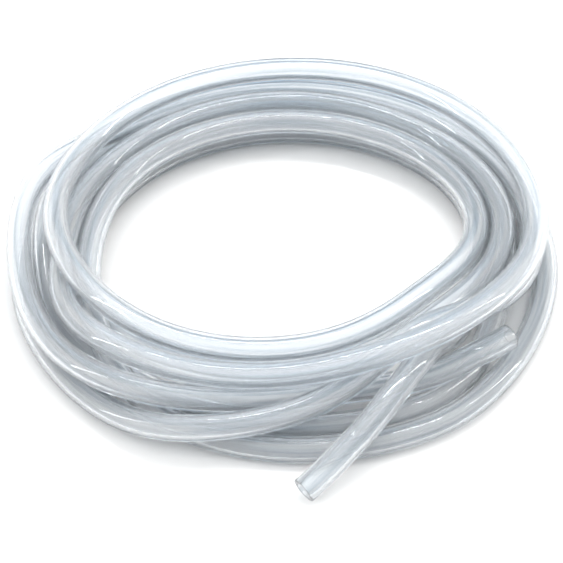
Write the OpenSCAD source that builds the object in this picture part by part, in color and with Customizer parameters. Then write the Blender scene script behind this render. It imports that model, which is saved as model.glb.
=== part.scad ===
// Coil of clear silicone tubing: one hose, wound loosely by hand, with both cut ends free.
// The wound turns are one closed solid of the coil's outer shape, a lobe for each turn of the
// stack. Each free end is a real hollow tube, from its cut mouth to where it goes into the coil.
// Z is up and the coil lies flat on Z = 0. The origin is below the middle of the whole shape.
// All sizes are in millimetres.

/* [Tube] */
// Outside diameter of the hose
tube_od = 8; // [6:0.5:9.5]
// Diameter of the hose's bore
tube_bore = 5; // [3:0.5:5.5]

/* [Coil] */
// Centreline radius of the outermost turn, which lies on the floor
outer_turn_r = 83.5; // [80:0.5:86]
// Clear gap left between one layer of turns and the next
turn_gap = 0.3; // [0.1:0.1:1]
// Turns in the bottom layer
bottom_turns = 3; // [2:1:4]
// Distance between the turns of the bottom layer
bottom_pitch = 10.4; // [9.6:0.2:12]
// Turns in the middle layer
middle_turns = 2; // [1:1:2]
// Distance between the turns of the middle layer
middle_pitch = 12; // [9.6:0.2:13]
// Turns in the top layer
top_turns = 2; // [1:1:2]
// Distance between the turns of the top layer
top_pitch = 9.6; // [9.6:0.2:12]
// How far the outermost turn of the middle layer lies inside that of the bottom one
middle_step = 14; // [11:0.5:15]
// How far the outermost turn of the top layer lies inside that of the bottom one
top_step = 15; // [12:0.5:17]

/* [Free ends] */
// Length of the straight stretch behind each mouth, which takes a hose barb
straight_end = 12; // [11:0.5:12]

/* [Hidden] */

SILICONE = [0.82, 0.87, 0.9, 0.75];
$fn = 96;
SIDES = 12;

tube_r = tube_od / 2;
bore_r = tube_bore / 2;
// The swept walls keep this far inside the round ones, so that where they join no corner of
// the one only touches the other
wall_step = 0.05;
join = 1; // how far they run into each other
rim_bevel = 0.2; // softened edge of the bore at both ends of the straight stretch
swept_r = tube_r - wall_step;
swept_bore_r = (bore_r + wall_step) / cos(180 / SIDES);
layer_rise = tube_od + turn_gap;
// Thickness of the web that makes the turns of a layer one solid
web_t = tube_r;

// Each layer from the floor up: its outermost turn's radius, its turns and their pitch
LAYERS = [
    [outer_turn_r, bottom_turns, bottom_pitch],
    [outer_turn_r - middle_step, middle_turns, middle_pitch],
    [outer_turn_r - top_step, top_turns, top_pitch],
];

// Routes of the free ends from the cut mouth into the coil, about the coil's own axis. They
// pass over the bottom layer. Heights are over the bottom layer's centreline, so both ends
// ride up with a thicker hose.
FRONT_ROUTE = [
    [6, -99.5, 1.2], [15, -91.4, 4.6], [20, -86.5, 6.9], [25.5, -81, 8.5],
    [32.5, -72.5, 9], [39, -63, 9],
];
SIDE_ROUTE = [[68.5, -45, 8.6], [58.5, -52, 8.6], [49, -57.5, 8.6], [39, -59.5, 8.6]];

// A route's points, lifted so that heights count from the bottom layer's centreline
function lifted(route) = [for (p = route) p + [0, 0, tube_r]];

function unit(v) = v / norm(v);

// Direction of a route at point i, from its neighbours
function heading(route, i) =
    unit(route[min(i + 1, len(route) - 1)] - route[max(i - 1, 0)]);

// Route that starts just inside the end of the straight stretch, and goes on from there
function after_straight(route) =
    let (along = unit(route[1] - route[0]))
    concat(
        [route[0] + along * (straight_end - join), route[0] + along * straight_end],
        [for (i = [2:len(route) - 1]) route[i]]
    );

// Directions of the rings along a swept tube: the first two carry on from the straight
function ring_headings(route, points) =
    [for (i = [0:len(points) - 1]) i < 2 ? unit(route[1] - route[0]) : heading(points, i)];

// One ring of a tube's wall, square to the direction t at the point p
function ring(p, t, r) =
    let (side = unit(cross(t, [0, 0, 1])), up = cross(side, t))
    [for (k = [0:SIDES - 1]) let (a = 360 * k / SIDES) p + r * (cos(a) * side + sin(a) * up)];

// Forward edge of the whole shape: the lowest Y that the front mouth's rim reaches
front_along = unit(FRONT_ROUTE[1] - FRONT_ROUTE[0]);
front_edge_y = FRONT_ROUTE[0][1] - tube_r * sqrt(1 - front_along[1] * front_along[1]);
coil_edge_r = outer_turn_r + tube_r;
coil_top = tube_od + (len(LAYERS) - 1) * layer_rise;
centre_y = (coil_edge_r + front_edge_y) / 2;

// Places what is drawn about the coil's axis so that the origin is mid-length
module about_coil() {
    translate([0, -centre_y, 0]) children();
}

// Centre of turn k of a layer, counted inwards, in the coil's section
function turn_at(layer, k) = [
    LAYERS[layer][0] - k * LAYERS[layer][2],
    tube_r + layer * layer_rise,
];

// Radius of a layer's innermost turn
function inner_turn_r(layer) = turn_at(layer, LAYERS[layer][1] - 1)[0];

// Rectangle of the section, from one corner to the other
module block(low, high) {
    translate(low) square(high - low);
}

// Section of the wound turns: a round lobe for each turn, a web that joins each layer's turns,
// and a core where one layer lies over the next
module coil_section() {
    for (layer = [0:len(LAYERS) - 1]) {
        height = turn_at(layer, 0)[1];
        block([inner_turn_r(layer), height - web_t / 2], [LAYERS[layer][0], height + web_t / 2]);
        for (k = [0:LAYERS[layer][1] - 1])
            translate(turn_at(layer, k)) circle(r = tube_r);
    }
    for (layer = [1:len(LAYERS) - 1])
        block(
            [max(inner_turn_r(layer - 1), inner_turn_r(layer)), turn_at(layer - 1, 0)[1]],
            [min(LAYERS[layer - 1][0], LAYERS[layer][0]), turn_at(layer, 0)[1]]
        );
}

module wound_turns() {
    rotate_extrude() coil_section();
}

// Hollow tube swept along points, with walls at the outside radius and at the bore
module swept_tube(points, headings) {
    count = len(points);
    outer = [for (i = [0:count - 1]) each ring(points[i], headings[i], swept_r)];
    inner = [for (i = [0:count - 1]) each ring(points[i], headings[i], swept_bore_r)];
    shift = count * SIDES;
    walls = [
        for (i = [0:count - 2])
            for (k = [0:SIDES - 1])
                let (a = i * SIDES + k, b = i * SIDES + (k + 1) % SIDES)
                each [
                    [a, b, b + SIDES], [a, b + SIDES, a + SIDES],
                    [shift + a, shift + b + SIDES, shift + b],
                    [shift + a, shift + a + SIDES, shift + b + SIDES],
                ]
    ];
    rims = [
        for (k = [0:SIDES - 1])
            let (b = (k + 1) % SIDES, far = (count - 1) * SIDES)
            each [
                [k, shift + k, shift + b], [k, shift + b, b],
                [far + k, far + b, shift + far + b], [far + k, shift + far + b, shift + far + k],
            ]
    ];
    polyhedron(points = concat(outer, inner), faces = concat(walls, rims));
}

// What softens the edge of the bore at a mouth that faces down
module bore_edge() {
    translate([0, 0, -rim_bevel])
        cylinder(r1 = bore_r + 2 * rim_bevel, r2 = bore_r, h = 2 * rim_bevel);
}

// Straight round stretch behind a mouth, with a true bore
module straight_mouth(start, along) {
    turn = atan2(along[1], along[0]);
    tilt = acos(along[2]);
    translate(start) rotate([0, tilt, turn]) difference() {
        cylinder(r = tube_r, h = straight_end);
        translate([0, 0, -1]) cylinder(r = bore_r, h = straight_end + 2);
        bore_edge();
        translate([0, 0, straight_end]) mirror([0, 0, 1]) bore_edge();
    }
}

// All that lies inside the middle layer's outermost turn, where a free end stops
module inside_of_coil() {
    wound_turns();
    cylinder(r = LAYERS[1][0], h = coil_top);
}

// One free end, cut off where it goes into the wound turns
module free_end(route) {
    path = lifted(route);
    along = unit(path[1] - path[0]);
    rest = after_straight(path);
    color(SILICONE) about_coil() difference() {
        union() {
            straight_mouth(path[0], along);
            swept_tube(rest, ring_headings(path, rest));
        }
        inside_of_coil();
    }
}

// All the wound turns, as one closed solid of the coil's outer shape
module coil() {
    color(SILICONE) about_coil() wound_turns();
}

// Free end that lies over the front of the coil, its mouth on the floor
module front_end() {
    free_end(FRONT_ROUTE);
}

// Free end that lies along the coil's side, its mouth on the bottom turns
module side_end() {
    free_end(SIDE_ROUTE);
}

coil();
front_end();
side_end();
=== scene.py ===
# %% [markdown]
# A coil of clear silicone tubing
#
# This is one length of soft, clear hose, about 3.2 m long and 8 mm across, with a 5 mm bore.
# It lies flat in a hand-wound coil of seven turns. The turns cross each other in places, and
# both cut ends come out at the front.
#
# The lesson goes through it in this order: the place of the coil, the camera, the route of
# the hose, the way its turns settle against each other, the tube made along that route, its
# cut ends, the silicone, and the light.

# %% The frame
import math

import bmesh
import bpy
import numpy as np
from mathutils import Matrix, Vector


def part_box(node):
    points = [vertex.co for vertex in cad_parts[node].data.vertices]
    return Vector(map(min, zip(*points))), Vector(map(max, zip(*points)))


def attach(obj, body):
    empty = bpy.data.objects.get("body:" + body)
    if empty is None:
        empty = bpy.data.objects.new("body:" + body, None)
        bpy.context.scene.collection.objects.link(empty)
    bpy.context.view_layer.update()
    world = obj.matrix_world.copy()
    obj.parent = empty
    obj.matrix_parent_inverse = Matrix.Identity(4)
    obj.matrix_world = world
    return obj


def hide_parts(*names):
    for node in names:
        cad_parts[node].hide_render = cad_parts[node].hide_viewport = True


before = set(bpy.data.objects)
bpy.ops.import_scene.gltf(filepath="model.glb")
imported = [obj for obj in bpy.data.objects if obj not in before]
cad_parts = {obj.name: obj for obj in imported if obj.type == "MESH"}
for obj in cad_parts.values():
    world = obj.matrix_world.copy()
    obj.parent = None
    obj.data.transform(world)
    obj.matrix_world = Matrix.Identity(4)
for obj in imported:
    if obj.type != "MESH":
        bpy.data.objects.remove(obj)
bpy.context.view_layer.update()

# %% [markdown]
# The hose has two sizes: its outside width and its bore. The coil is wound about an upright
# axis that stands a little behind the middle of the whole object, because the front end
# sticks out forwards. The wound turns are one solid in the frame, centred on that axis, so the
# axis is read from the box of that solid.

# %% Sizes
TUBE = 0.008  # outside width of the hose, in metres
TUBE_MM = 8
BORE = 0.005  # width of the hole through it
coil_low, coil_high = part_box("coil")
AXIS_Y = (coil_low[1] + coil_high[1]) / 2
print("coil axis at y =", round(AXIS_Y, 5))

# %% [markdown]
# The camera looks down on the coil from in front, at 44 degrees, from some way off. A long
# lens keeps the far side of the coil almost as large as the near side. A camera could also be
# turned by three angles, but a place and a point to look at are easier to check.

# %% Camera
ELEVATION = math.radians(44)
DISTANCE = 90 * TUBE
LENS, FRAME_WIDTH = 143.9, 36  # in millimetres
AIM = Vector((-0.0003, AXIS_Y - 0.0041, -0.0043))  # just in front of the middle of the coil
camera = bpy.data.objects.new("camera", bpy.data.cameras.new("camera"))
bpy.context.collection.objects.link(camera)
camera.data.lens = LENS
camera.data.sensor_width = FRAME_WIDTH
camera.data.clip_start = 0.01
camera.location = (
    0, AXIS_Y - DISTANCE * math.cos(ELEVATION), DISTANCE * math.sin(ELEVATION)
)
camera.rotation_mode = "QUATERNION"
camera.rotation_quaternion = (AIM - camera.location).to_track_quat("-Z", "Y")
bpy.context.scene.camera = camera
print("camera at", [round(v, 3) for v in camera.location])

# %% [markdown]
# A hose wound by hand follows no formula. It drifts in and out, climbs over one turn and dives
# under the next. So the route starts as a table: going round the axis, how far out the hose is
# and how high. The angle keeps counting up, turn after turn, from the side end to the front end.
# Radius and height are in tube widths, so a hose that lies on the floor is at height 0.5.
#
# The free ends lie outside the coil, where the solids are, so their points are repeated from
# there, in millimetres.

# %% Points of the two free ends
SIDE_END = [(68.5, -45, 8.6), (58.5, -52, 8.6), (49, -57.5, 8.6)]
FRONT_END = [(6, -99.5, 1.2), (15, -91.4, 4.6), (20, -86.5, 6.9), (25.5, -81, 8.5)]
RESTS_AT = 4  # height of a tube's middle when it lies on the floor, in millimetres


def round_the_axis(point, turns=0):
    """A point in millimetres as an angle in degrees, and a radius and height in tube widths."""
    x, y, z = point
    return (
        math.degrees(math.atan2(-y, x)) + 360 * turns,
        math.hypot(x, y) / TUBE_MM,
        (z + RESTS_AT) / TUBE_MM,
    )


side_end = [round_the_axis(p) for p in SIDE_END]
front_end = [round_the_axis(p, turns=7) for p in reversed(FRONT_END)]
print("from", round(side_end[0][0]), "to", round(front_end[-1][0]), "degrees")

# %% The turns
TURNS = [
    # in from the side, under the stack, and round on the second layer
    (56.8, 8.89, 1.35), (69, 8.22, 1.54), (80, 8.34, 1.54), (89, 8.56, 1.54),
    (99, 8.94, 1.54), (108, 9.32, 1.54), (117, 9.61, 1.54), (125, 10.02, 1.54),
    (134, 10.40, 1.54), (143, 10.52, 1.54), (157, 10.45, 1.54), (167, 10.33, 1.54),
    (177, 10.16, 1.54), (188, 9.95, 1.54), (199, 9.67, 1.54), (206, 9.48, 1.54),
    (220, 9.15, 1.54), (236, 9.0, 1.54), (262, 8.97, 1.54), (288, 9.0, 1.54),
    (304, 9.04, 1.54), (321, 9.29, 1.54), (336, 9.56, 1.54), (347, 9.8, 1.54),
    (358, 9.95, 1.54),
    # over the two free ends, then out and down to the floor
    (366, 9.85, 1.6), (376, 9.59, 1.7), (382, 9.45, 2.0), (392, 9.4, 2.5),
    (403, 9.3, 2.75), (414, 9.0, 2.5), (424, 8.85, 2.0), (435, 9.04, 1.6),
    (445, 9.40, 1.54), (450, 9.58, 1.54), (459, 10.06, 1.45), (470, 10.42, 1.0),
    (482, 10.5, 0.6), (495, 10.5, 0.5), (510, 10.45, 0.5), (522, 10.25, 0.5),
    (538, 9.8, 0.5),
    # round the back on the floor, under the others
    (552, 9.3, 0.5), (570, 8.85, 0.5), (600, 8.6, 0.5), (630, 8.6, 0.5),
    (660, 8.85, 0.5), (690, 9.2, 0.5), (705, 9.37, 0.5), (714, 9.10, 0.5),
    (722, 8.76, 0.5), (729, 8.55, 0.5), (738, 8.55, 0.5), (748, 8.95, 0.5),
    # a second turn on the floor, at the front
    (760, 9.38, 0.5), (780, 9.33, 0.5), (795, 9.30, 0.5), (810, 9.21, 0.5),
    (820, 9.33, 0.5), (840, 9.45, 0.5), (860, 9.5, 0.5), (880, 9.45, 0.5),
    (900, 9.35, 0.5), (930, 9.6, 0.5), (960, 9.7, 0.5), (990, 9.75, 0.5),
    (1020, 9.9, 0.5), (1050, 10.15, 0.5), (1076, 10.42, 0.5),
    # the outermost turn at the front, then inwards under the others
    (1100, 10.48, 0.5), (1130, 10.48, 0.5), (1156, 10.45, 0.5), (1170, 10.40, 0.5),
    (1184, 10.26, 0.5), (1193, 10.07, 0.5), (1205, 9.5, 0.5), (1218, 8.8, 0.75),
    (1230, 8.2, 1.2),
    # the innermost turn of the second layer, which climbs to the top at the front
    (1243, 7.82, 1.54), (1253, 7.62, 1.54), (1261, 7.52, 1.54), (1278, 7.34, 1.54),
    (1292, 7.26, 1.54), (1309, 7.14, 1.54), (1326, 7.02, 1.54), (1351, 6.91, 1.54),
    (1376, 7.14, 1.54), (1398, 7.58, 1.54), (1418, 7.96, 1.54), (1431, 8.05, 1.54),
    (1439, 7.85, 1.54), (1446, 7.62, 1.6), (1453, 7.36, 1.7), (1464, 7.0, 1.9),
    (1485, 6.9, 2.4), (1500, 7.05, 2.58),
    # round on top: out over everything at the left, and along the outside at the back
    (1514, 7.18, 2.58), (1529, 7.22, 2.58), (1543, 7.42, 2.58), (1557, 7.75, 2.58),
    (1570, 8.02, 2.58), (1583, 8.30, 2.7), (1595, 8.56, 2.9), (1607, 8.78, 2.95),
    (1617, 8.90, 2.8), (1627, 9.02, 2.6), (1638, 9.01, 2.58), (1655, 8.91, 2.58),
    (1673, 8.91, 2.58), (1692, 8.95, 2.58), (1710, 9.03, 2.58), (1728, 9.28, 2.58),
    (1746, 9.51, 2.58), (1764, 9.73, 2.58), (1781, 9.92, 2.58), (1798, 9.97, 2.58),
    # over the stack at the right, and round the front beside the turn before
    (1813, 9.86, 2.8), (1826, 9.56, 3.2), (1838, 9.4, 3.5), (1850, 9.2, 3.4),
    (1862, 8.8, 2.9), (1876, 8.56, 2.6), (1889, 8.57, 2.58), (1903, 8.88, 2.58),
    (1915, 9.11, 2.58), (1928, 9.23, 2.5), (1941, 9.35, 2.2), (1953, 9.3, 1.8),
    # under the crossing and round the back on the second layer
    (1965, 9.05, 1.6), (1974, 8.86, 1.54), (1984, 8.70, 1.54), (1994, 8.54, 1.54),
    (2008, 8.27, 1.54), (2024, 8.04, 1.54), (2047, 7.9, 1.7), (2071, 7.98, 1.75),
    (2088, 8.2, 1.7), (2105, 8.60, 1.54), (2126, 8.9, 1.54), (2142, 9.0, 1.54),
    (2151, 8.96, 1.54), (2160, 8.77, 1.54), (2169, 8.49, 1.54), (2177, 8.27, 1.54),
    (2189, 7.88, 1.54), (2210, 7.6, 1.54), (2230, 7.45, 1.54), (2250, 7.5, 1.54),
    (2275, 7.7, 1.54), (2300, 7.9, 1.3), (2330, 8.0, 0.9),
    # the innermost turn on the floor, then forwards to the front end
    (2350, 7.95, 0.55), (2366, 7.77, 0.5), (2379, 7.62, 0.5), (2399, 7.50, 0.5),
    (2420, 7.49, 0.5), (2442, 7.60, 0.5), (2463, 7.82, 0.5), (2482, 8.08, 0.5),
    (2495, 8.21, 0.5), (2503, 8.25, 0.5), (2515, 8.0, 0.5), (2530, 7.55, 0.5),
    (2545, 7.4, 0.6), (2560, 7.9, 1.0), (2570, 8.6, 2.15), (2578.2, 9.26, 2.25),
    (2585.9, 9.93, 2.0),
]
chalked = np.array(side_end + TURNS + front_end)
print(len(chalked), "places in", round((chalked[-1, 0] - chalked[0, 0]) / 360, 2), "turns")

# %% [markdown]
# Between the places of the table the hose bends smoothly. A smooth curve through given
# places needs a slope at each one, and the slope comes from the neighbours on both sides. The
# curve is read off once per degree, and then again at even steps along its own length,
# because a hose doesn't stretch.

# %% A smooth line through the places


def smooth_through(places, angles):
    """Radius and height at each angle, on a curve that goes smoothly through the places."""
    at, values = places[:, 0], places[:, 1:]
    slope = np.gradient(values, at, axis=0)
    i = np.clip(np.searchsorted(at, angles, side="right") - 1, 0, len(at) - 2)
    span = (at[i + 1] - at[i])[:, None]
    s = ((angles - at[i]) / (at[i + 1] - at[i]))[:, None]
    return (
        (2 * s**3 - 3 * s**2 + 1) * values[i]
        + (s**3 - 2 * s**2 + s) * span * slope[i]
        + (3 * s**2 - 2 * s**3) * values[i + 1]
        + (s**3 - s**2) * span * slope[i + 1]
    )


def length_of(line):
    """How far it is along the line."""
    return float(np.linalg.norm(np.diff(line, axis=0), axis=1).sum())


def even_steps(line, step):
    """The same line, with its points an even step apart."""
    gone = np.r_[0, np.cumsum(np.linalg.norm(np.diff(line, axis=0), axis=1))]
    marks = np.linspace(0, gone[-1], int(round(gone[-1] / step)) + 1)
    return np.stack([np.interp(marks, gone, line[:, k]) for k in range(3)], 1)


POINT_STEP = 1 / 3  # in tube widths
angles = np.r_[np.arange(chalked[0, 0], chalked[-1, 0], 1.0), chalked[-1, 0]]
radius, height = smooth_through(chalked, angles).T
turn = np.radians(angles)
laid = np.stack([radius * np.cos(turn), -radius * np.sin(turn), height], 1)
laid = even_steps(laid, POINT_STEP)
print("laid out:", len(laid), "points,", round(length_of(laid) * TUBE, 3), "m")

# %% [markdown]
# A route from a table runs strands into each other, and real ones push each other aside. There
# are physics engines for that, but a hose of a known length needs only a few rules, applied
# again
# and again: two strands nearer than a tube's width part, each point is drawn a little towards
# the place it was laid, sharp bends straighten, and nothing sinks into the floor. The free
# ends stay where they are.
#
# Sharp bends straighten through one matrix, worked out once: it is what a springy strip does
# when its points are let go.

# %% Let the turns settle
ROOM = 1.04  # how far apart the middles of two strands come to rest, in tube widths
LOOK_ROUND = 0.3  # strands this much further off are watched too
STIFF = 8.0  # how strongly a sharp bend straightens
DRAWN_BACK = 0.008  # part of the way back to the laid place, in each round
ON_THE_FLOOR = 0.5  # height of a resting tube's middle, in tube widths
HELD = (6, 10)  # points held still at the side end and at the front end
NEIGHBOURS = 6  # points so close along the hose that they are one stretch of it
FAR = 99


def same_stretch(count):
    """Which pairs of points are neighbours along the hose, and so always close."""
    return np.abs(np.subtract.outer(np.arange(count), np.arange(count))) <= NEIGHBOURS


def springiness(count):
    """The matrix that straightens sharp bends in a line of this many points."""
    bend = np.zeros((count - 2, count))
    row = np.arange(count - 2)
    bend[row, row], bend[row, row + 1], bend[row, row + 2] = 1, -2, 1
    return np.linalg.inv(np.eye(count) + STIFF * bend.T @ bend)


def settle(laid, rounds):
    """The laid line after its strands have pushed each other aside."""
    count = len(laid)
    straighten = springiness(count)
    line = laid.copy()
    for finished in range(rounds):
        if finished % 5 == 0:
            apart = ((line[:, None] - line[None]) ** 2).sum(2)
            apart[same_stretch(count)] = FAR
            one, two = np.nonzero(np.triu(apart < (ROOM + LOOK_ROUND) ** 2))
        across = line[two] - line[one]
        gap = np.maximum(np.linalg.norm(across, axis=1), 1e-6)
        short = np.maximum(ROOM - gap, 0)
        push = (short**2 / gap / 2)[:, None] * across
        moved, weight = np.zeros_like(line), np.full(count, 1e-9)
        np.add.at(moved, one, -push)
        np.add.at(moved, two, push)
        np.add.at(weight, one, short)
        np.add.at(weight, two, short)
        line = line + moved / weight[:, None]
        line += DRAWN_BACK * (laid - line)
        line = straighten @ line
        line[:, 2] = np.maximum(line[:, 2], ON_THE_FLOOR)
        line[: HELD[0]], line[-HELD[1] :] = laid[: HELD[0]], laid[-HELD[1] :]
    return line


settled = settle(laid, 450)
print("settled:", round(length_of(settled) * TUBE, 3), "m, highest middle at",
      round(float(settled[:, 2].max()), 2), "tube widths")

# %% How close the strands lie
near = np.linalg.norm(settled[:, None] - settled[None], axis=2)
near[same_stretch(len(near))] = FAR
print("nearest two strands:", round(float(near.min()), 3), "tube widths between middles")
ROUTE = settled * TUBE + np.array([0, AXIS_Y, 0])
del near

# %% [markdown]
# The tube itself is the same ring, carried along the route. Curve objects can be given a
# round bevel, but that makes a solid rod, and this hose is hollow: what one sees is light that
# goes through the outer wall, the bore and out again. So a Geometry Nodes tree sweeps two
# rings, one for the outside and one for the bore. The bore's faces are turned over, so that
# they look into the hole. The tree keeps, for each point, where it would be if the hose were
# pulled straight, and the silicone uses that later for its fine lines.

# %% A node tree that sweeps a hose


def add(tree, kind, **settings):
    """One new node in a tree, with its settings, and with its inputs given by name."""
    node = tree.nodes.new(kind)
    inputs = settings.pop("inputs", {})
    for key, value in settings.items():
        setattr(node, key, value)
    for key, value in inputs.items():
        if isinstance(value, bpy.types.NodeSocket):
            tree.links.new(value, node.inputs[key])
        else:
            node.inputs[key].default_value = value
    return node


hose_tree = bpy.data.node_groups.new("sweep a hose", "GeometryNodeTree")
face = hose_tree.interface
face.new_socket("Route", in_out="INPUT", socket_type="NodeSocketGeometry")
for name in ("Outside width", "Bore width"):
    face.new_socket(name, in_out="INPUT", socket_type="NodeSocketFloat")
face.new_socket("Sides", in_out="INPUT", socket_type="NodeSocketInt")
face.new_socket("Silicone", in_out="INPUT", socket_type="NodeSocketMaterial")
face.new_socket("Hose", in_out="OUTPUT", socket_type="NodeSocketGeometry")
given = add(hose_tree, "NodeGroupInput").outputs
print("inputs:", [s.name for s in face.items_tree if s.in_out == "INPUT"])

# %% One wall: a ring carried along the route


def wall(tree, width_socket):
    """A ring of this width swept along the route, with each point's place on a straight hose."""
    half = add(tree, "ShaderNodeMath", operation="MULTIPLY", inputs={0: width_socket, 1: 0.5})
    ring = add(tree, "GeometryNodeCurvePrimitiveCircle",
               inputs={"Resolution": given["Sides"], "Radius": half.outputs[0]})
    ring_place = add(tree, "GeometryNodeStoreNamedAttribute", data_type="FLOAT_VECTOR",
                     inputs={"Geometry": ring.outputs["Curve"], "Name": "on the ring",
                             "Value": add(tree, "GeometryNodeInputPosition").outputs[0]})
    swept = add(tree, "GeometryNodeCurveToMesh",
                inputs={"Curve": route_place.outputs[0],
                        "Profile Curve": ring_place.outputs[0]})
    return swept.outputs[0]


along = add(hose_tree, "GeometryNodeSplineParameter").outputs["Length"]
straight_line = add(hose_tree, "ShaderNodeCombineXYZ", inputs={"Z": along})
route_place = add(hose_tree, "GeometryNodeStoreNamedAttribute", data_type="FLOAT_VECTOR",
                  inputs={"Geometry": given["Route"], "Name": "along",
                          "Value": straight_line.outputs[0]})
outer = wall(hose_tree, given["Outside width"])
bore = add(hose_tree, "GeometryNodeFlipFaces",
           inputs={"Mesh": wall(hose_tree, given["Bore width"])}).outputs[0]
both = add(hose_tree, "GeometryNodeJoinGeometry")
for part in (outer, bore):
    hose_tree.links.new(part, both.inputs[0])
print(len(hose_tree.nodes), "nodes so far")

# %% Smooth shading, the material and the output
shaded = add(hose_tree, "GeometryNodeSetShadeSmooth", inputs={"Geometry": both.outputs[0]})
real = add(hose_tree, "GeometryNodeRealizeInstances", inputs={"Geometry": shaded.outputs[0]})
dressed = add(hose_tree, "GeometryNodeSetMaterial",
              inputs={"Geometry": real.outputs[0], "Material": given["Silicone"]})
add(hose_tree, "NodeGroupOutput", inputs={"Hose": dressed.outputs[0]})
print("tree ends in", dressed.bl_label)

# %% [markdown]
# The hose is clear silicone rubber. It was pressed through a die while soft and then cured in
# hot air. That gives the eye a glossy skin with faint lines along it, over a wall that is never
# quite clear: silicone carries a trace of milk, because silica is mixed in to make it strong.
# It bends light less than glass does.
#
# Milk inside a wall could be a volume, but a volume is slow and noisy in a thin wall. Here it
# is a tint of the light that goes through, and it comes in long soft streaks, clearer in some
# stretches than in others. The patterns are noise, read from the straight hose that the node
# tree kept, and squeezed along it, so that they come out long and turn with every bend.
#
# A noise has about one lump for each unit of its scale in a metre, so each scale is worked out
# from the size of a lump.

# %% Silicone


def colour(code):
    """A colour written as on the web, as Blender wants it."""
    parts = [int(code[i : i + 2], 16) / 255 for i in (1, 3, 5)]
    return (*[p / 12.92 if p <= 0.04045 else ((p + 0.055) / 1.055) ** 2.4 for p in parts], 1)


silicone = bpy.data.materials.new("clear silicone")
silicone.use_nodes = True
tree = silicone.node_tree
tree.nodes.clear()
on_ring = add(tree, "ShaderNodeAttribute", attribute_name="on the ring").outputs["Vector"]
on_line = add(tree, "ShaderNodeAttribute", attribute_name="along").outputs["Vector"]
place = add(tree, "ShaderNodeVectorMath", operation="ADD", inputs={0: on_ring, 1: on_line})


def lumps(size_in_mm):
    """The scale of a noise whose lumps are this big."""
    return round(1000 / size_in_mm)


def drawn_along(amount):
    """The place on the hose, squeezed along it, so that a pattern comes out in long streaks."""
    return add(tree, "ShaderNodeVectorMath", operation="MULTIPLY",
               inputs={0: place.outputs[0], 1: (1, 1, amount)}).outputs[0]


# milky streaks, about 2 mm wide and 170 mm long
streaks = add(tree, "ShaderNodeTexNoise",
              inputs={"Vector": drawn_along(0.012), "Scale": lumps(2.083), "Detail": 2.5})
milk = add(tree, "ShaderNodeValToRGB", inputs={0: streaks.outputs[0]})
MILK = [(0.37, "#D3DADF"), (0.51, "#F5F7F9")]
for stop, (amount, code) in zip(milk.color_ramp.elements, MILK):
    stop.position, stop.color = amount, colour(code)
# lines from the die: really some hundredths of a millimetre, drawn 1 mm wide so that they show
lines = add(tree, "ShaderNodeTexNoise",
            inputs={"Vector": drawn_along(0.002), "Scale": lumps(1.111), "Detail": 2.0})
skin = add(tree, "ShaderNodeBump",
           inputs={"Height": lines.outputs[0], "Strength": 0.02, "Distance": 0.0001})
# where hands held it the skin is a little duller, in patches of about 22 mm
haze = add(tree, "ShaderNodeTexNoise",
           inputs={"Vector": place.outputs[0], "Scale": lumps(22.2), "Detail": 4.0})
dulled = add(tree, "ShaderNodeMapRange",
             inputs={"Value": haze.outputs[0], "From Min": 0.3, "From Max": 0.7,
                     "To Min": 0.0, "To Max": 0.025})
body = add(tree, "ShaderNodeBsdfPrincipled",
           inputs={"Base Color": milk.outputs[0], "Roughness": dulled.outputs[0],
                   "IOR": 1.41, "Transmission Weight": 0.88, "Normal": skin.outputs[0]})
add(tree, "ShaderNodeOutputMaterial", inputs={"Surface": body.outputs[0]})
print("silicone:", len(tree.nodes), "nodes")

# %% [markdown]
# Now the tree gets its route. The route becomes a plain curve of straight steps, short enough
# to look round. The tree's inputs are set before Blender looks at the object for the first
# time, and then the result is kept as a plain mesh.

# %% Sweep the hose
SIDES = 28  # flats round the hose
guide = bpy.data.curves.new("tubing route", "CURVE")
guide.dimensions = "3D"
spline = guide.splines.new("POLY")
spline.points.add(len(ROUTE) - 1)
spline.points.foreach_set("co", np.c_[ROUTE, np.ones(len(ROUTE))].ravel())
sweeper = bpy.data.objects.new("tubing sweep", guide)
bpy.context.collection.objects.link(sweeper)
modifier = sweeper.modifiers.new("sweep", "NODES")
modifier.node_group = hose_tree
values = {"Outside width": TUBE, "Bore width": BORE, "Sides": SIDES, "Silicone": silicone}
for item in face.items_tree:
    if item.in_out == "INPUT" and item.name in values:
        modifier[item.identifier] = values[item.name]
graph = bpy.context.evaluated_depsgraph_get()
mesh = bpy.data.meshes.new_from_object(sweeper.evaluated_get(graph), depsgraph=graph)
mesh.name = "tubing"
sweeper.modifiers.clear()
bpy.data.objects.remove(sweeper)
tubing = bpy.data.objects.new("tubing", mesh)
bpy.context.collection.objects.link(tubing)
print("tubing:", len(mesh.vertices), "points,", len(mesh.polygons), "faces")

# %% [markdown]
# The two walls are still open at the ends. A blade cuts silicone square, and the cut has a
# crisp edge that is rounded only by a tenth of a millimetre or two. The open rims are found
# as edges with a single face, joined across, and then the two edges are softened.
#
# A real cut is a little frosted, because the blade drags on soft rubber. Here it keeps the
# glossy silicone of the skin. The sweep leaves the first material slot empty and puts the
# silicone in the second, so the new faces of the cut are given the second one, as far as they
# lie within the softened edge.

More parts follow.
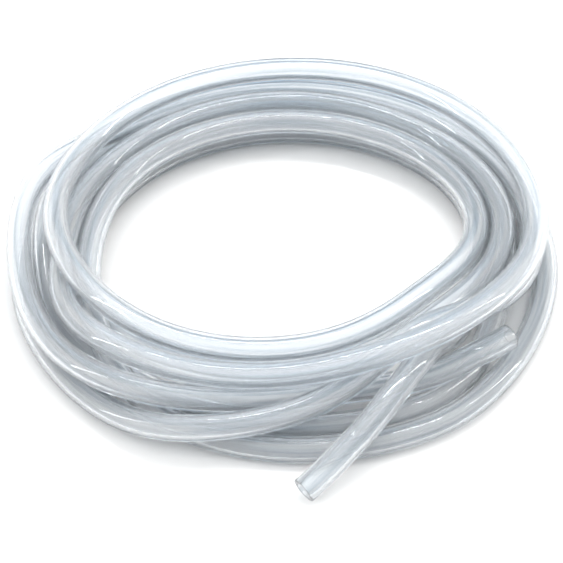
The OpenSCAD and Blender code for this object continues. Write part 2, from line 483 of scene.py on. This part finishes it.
# %% Close the cut ends
EDGE = 0.0002  # width of the softened edge, in metres
SILICONE_SLOT = 1
cut = bmesh.new()
cut.from_mesh(mesh)
open_edges = [edge for edge in cut.edges if edge.is_boundary]
near_start = [e for e in open_edges if (e.verts[0].co - Vector(ROUTE[0])).length < TUBE]
near_finish = [e for e in open_edges if e not in near_start]
for rims in (near_start, near_finish):
    made = bmesh.ops.bridge_loops(cut, edges=rims)
    for new_face in made["faces"]:
        new_face.smooth = True
    bmesh.ops.bevel(cut, geom=rims, offset=EDGE, segments=2, profile=0.5,
                    affect="EDGES", clamp_overlap=True)
bmesh.ops.recalc_face_normals(cut, faces=cut.faces)
for end, inner in ((ROUTE[0], ROUTE[2]), (ROUTE[-1], ROUTE[-3])):
    inwards = Vector(inner - end).normalized()
    for cut_off in cut.faces:
        away = cut_off.calc_center_median() - Vector(end)
        if away.length < TUBE and abs(away.dot(inwards)) < EDGE:
            cut_off.material_index = SILICONE_SLOT
in_silicone = sum(f.material_index == SILICONE_SLOT for f in cut.faces)
print("faces in silicone:", in_silicone, "of", len(cut.faces))
print("open edges left:", sum(e.is_boundary for e in cut.edges))
cut.to_mesh(mesh)
cut.free()
print("tubing:", sum(len(p.vertices) - 2 for p in mesh.polygons), "triangles")

# %% [markdown]
# The piece is one free hose. It stands for all three solids, which are only its outline: the
# wound turns and the two free ends.

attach(tubing, "root")
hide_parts("coil", "front_end", "side_end")
print("declared a cord of", round(length_of(ROUTE), 3), "m")

# %% [markdown]
# Clear things are drawn by what is around them. A white floor shines up through the tubes, and
# it is a plain sheet of matt white paper.
#
# The sky is like a tent of cloth round the table. At the sides it is white above a dark rim at
# the horizon, with one grey band. Ahead and behind it is blue-grey from the floor to high up.
# A tube mirrors and bends only what lies square to its own length, so the parts of the coil
# that run from left to right pick up the blue-grey, and the rest pick up the white. One soft
# lamp overhead would be simpler, but it would make all the turns look alike.
#
# Three long thin lamps give the highlights that run along the hose.

# %% Floor
paper = bpy.data.materials.new("white paper")
paper.use_nodes = True
tree = paper.node_tree
tree.nodes.clear()
white = add(tree, "ShaderNodeBsdfPrincipled",
            inputs={"Base Color": colour("#DCDCDC"), "Roughness": 0.9})
add(tree, "ShaderNodeOutputMaterial", inputs={"Surface": white.outputs[0]})
ground = bpy.data.meshes.new("floor")
ground.from_pydata([(-4, -4, 0), (4, -4, 0), (4, 4, 0), (-4, 4, 0)], [], [(0, 1, 2, 3)])
ground.materials.append(paper)
floor = bpy.data.objects.new("floor", ground)
bpy.context.collection.objects.link(floor)
print("floor", len(ground.polygons), "face")

# %% Sky
sky = bpy.data.worlds.new("studio")
bpy.context.scene.world = sky
sky.use_nodes = True
tree = sky.node_tree
tree.nodes.clear()
way = add(tree, "ShaderNodeTexCoord").outputs["Generated"]
axes = add(tree, "ShaderNodeSeparateXYZ", inputs={0: way})
# each colour with its height, from 0 at the horizon to 1 straight above
AHEAD = [(0.0, "#3F5263"), (0.25, "#5E7689"), (0.50, "#8098AB"), (0.70, "#A9BCCB"),
         (0.90, "#FFFFFF")]
ASIDE = [(0.0, "#5E5B58"), (0.08, "#9C9893"), (0.16, "#FAF8F4"), (0.45, "#FFFDF9"),
         (0.62, "#CFC9C2"), (0.74, "#FFFFFF")]


def bands(stops):
    """The colours of one side of the tent, by height."""
    ramp = add(tree, "ShaderNodeValToRGB", inputs={0: axes.outputs["Z"]})
    made = ramp.color_ramp.elements
    for k, (height, code) in enumerate(stops):
        stop = made[k] if k < 2 else made.new(height)
        stop.position, stop.color = height, colour(code)
    return ramp.outputs[0]


off_centre = add(tree, "ShaderNodeMath", operation="ABSOLUTE", inputs={0: axes.outputs["X"]})
to_the_side = add(tree, "ShaderNodeMapRange", interpolation_type="SMOOTHSTEP",
                  inputs={"Value": off_centre.outputs[0], "From Min": 0.12, "From Max": 0.5})
tent = add(tree, "ShaderNodeMix", data_type="RGBA",
           inputs={0: to_the_side.outputs[0], 6: bands(AHEAD), 7: bands(ASIDE)})
air = add(tree, "ShaderNodeBackground", inputs={"Color": tent.outputs[2], "Strength": 2.0})
add(tree, "ShaderNodeOutputWorld", inputs={"Surface": air.outputs[0]})
print("sky bands:", len(AHEAD), "ahead and behind,", len(ASIDE), "at the sides")

# %% Lamps


def lamp(name, place, size, watts, tint="#FFFFFF"):
    """A soft lamp that faces the middle of the table."""
    light = bpy.data.lights.new(name, "AREA")
    light.shape, light.size, light.size_y = "RECTANGLE", *size
    light.energy = watts
    light.color = colour(tint)[:3]
    stand = bpy.data.objects.new(name, light)
    stand.location = place
    aim = Vector((0, 0, 0)) - Vector(place)
    stand.rotation_mode = "QUATERNION"
    stand.rotation_quaternion = aim.to_track_quat("-Z", "Y")
    bpy.context.collection.objects.link(stand)


lamp("overhead box", (0.1, 0.25, 1.1), (0.9, 0.05), 5)
lamp("left box", (-0.9, -0.2, 0.6), (0.05, 0.9), 2.5, "#FBFDFF")
lamp("right box", (0.9, 0.1, 0.6), (0.05, 0.9), 2.5, "#FFFDFA")
# a ray that goes through a pile of five hoses crosses four surfaces in each
light_paths = bpy.context.scene.cycles
light_paths.max_bounces, light_paths.transmission_bounces = 24, 20
bpy.context.scene.view_settings.view_transform = "Standard"
